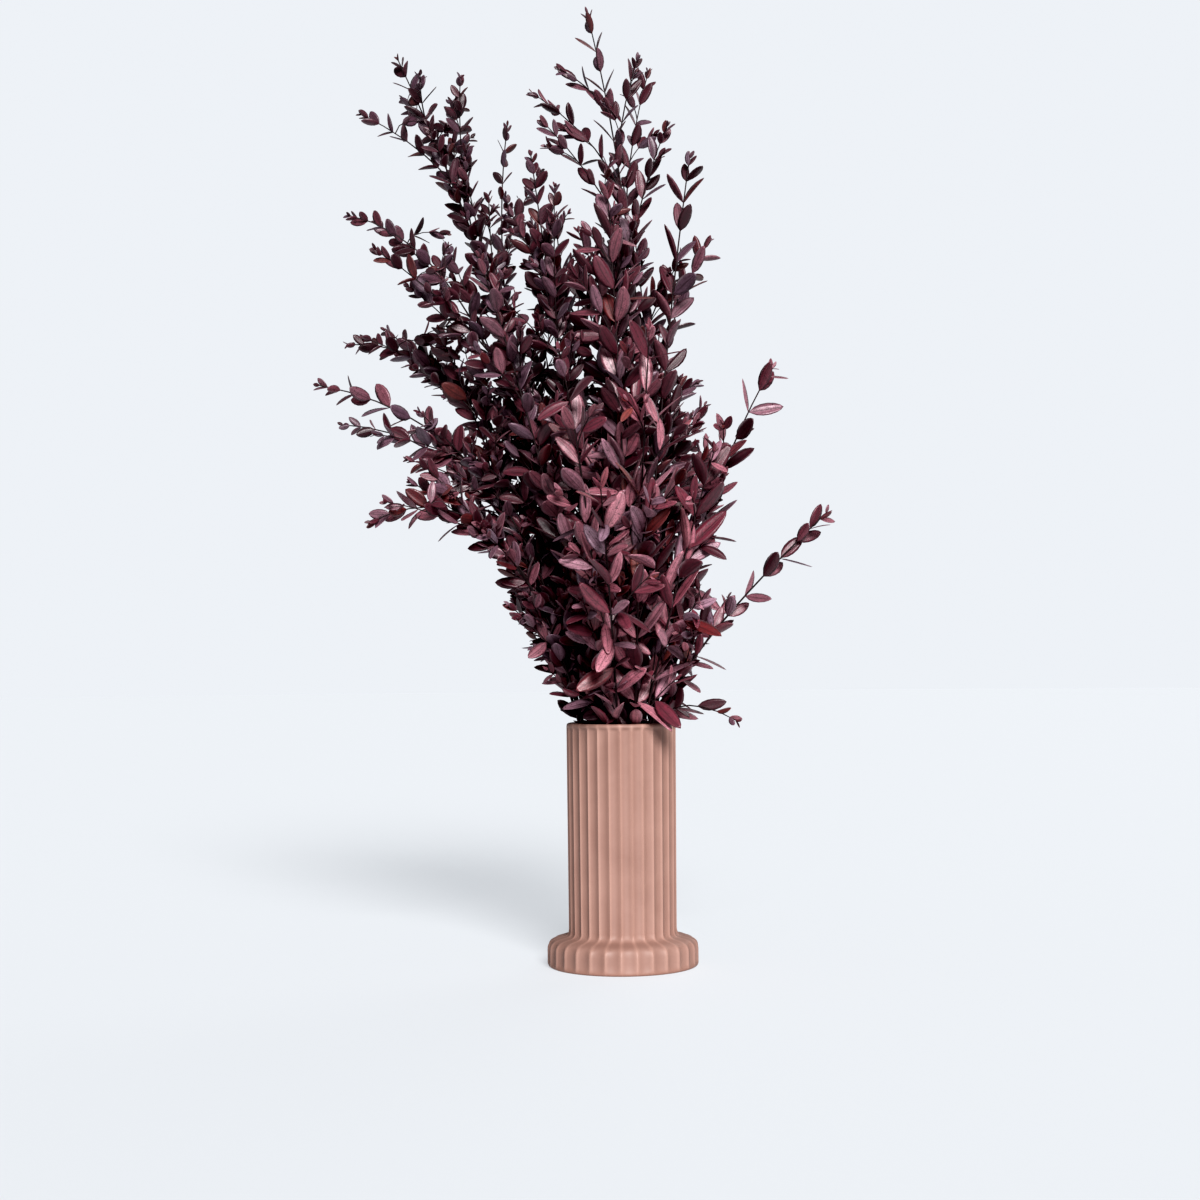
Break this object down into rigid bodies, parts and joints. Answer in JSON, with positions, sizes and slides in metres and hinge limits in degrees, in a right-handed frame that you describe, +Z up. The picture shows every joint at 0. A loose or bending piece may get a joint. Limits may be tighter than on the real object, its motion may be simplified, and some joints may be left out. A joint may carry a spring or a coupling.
{
  "type": "preserved eucalyptus in vase",
  "caption": "Tall airy bunch of preserved small-leaved eucalyptus, dyed deep burgundy, standing in a fluted column-shaped ceramic vase with a wide round foot.",
  "frame": {"origin": "middle of the vase's flat underside, where it stands", "axes": "+Z up along the vase's axis, +Y towards the back of the bunch, +X to the right as seen from the front; the tallest side stem leans to -X"},
  "size_m": [0.4143, 0.3663, 0.798],
  "materials": {
    "ceramic": "unglazed matte, dusty terracotta pink, with a very fine grain",
    "foliage": "preserved leaves, satin, from near-black plum to dusty burgundy rose, on thin dark brown stems"
  },
  "bodies": {
    "root": {"vase": "ceramic", "stem_left_tall": "foliage", "stem_left_upper": "foliage", "stem_left_middle": "foliage", "stem_left_spray": "foliage", "stem_left_rear": "foliage", "stem_left_low": "foliage", "stem_left_thin": "foliage", "stem_left_inner": "foliage", "stem_top": "foliage", "stem_right_tall": "foliage", "stem_right_rear": "foliage", "stem_right_middle": "foliage", "stem_right_low": "foliage", "stem_front_tall": "foliage", "stem_front_left": "foliage", "stem_front_low": "foliage", "stem_front_right": "foliage", "stem_back_left": "foliage", "stem_back_tall": "foliage", "stem_back_right": "foliage", "stem_back_low": "foliage", "stem_inner_left": "foliage", "stem_inner_right": "foliage", "stem_centre": "foliage", "stem_centre_back": "foliage", "stem_inner_tall": "foliage", "stem_inner_middle": "foliage", "stem_inner_rear": "foliage", "stem_centre_left": "foliage"}
  },
  "joints": []
}
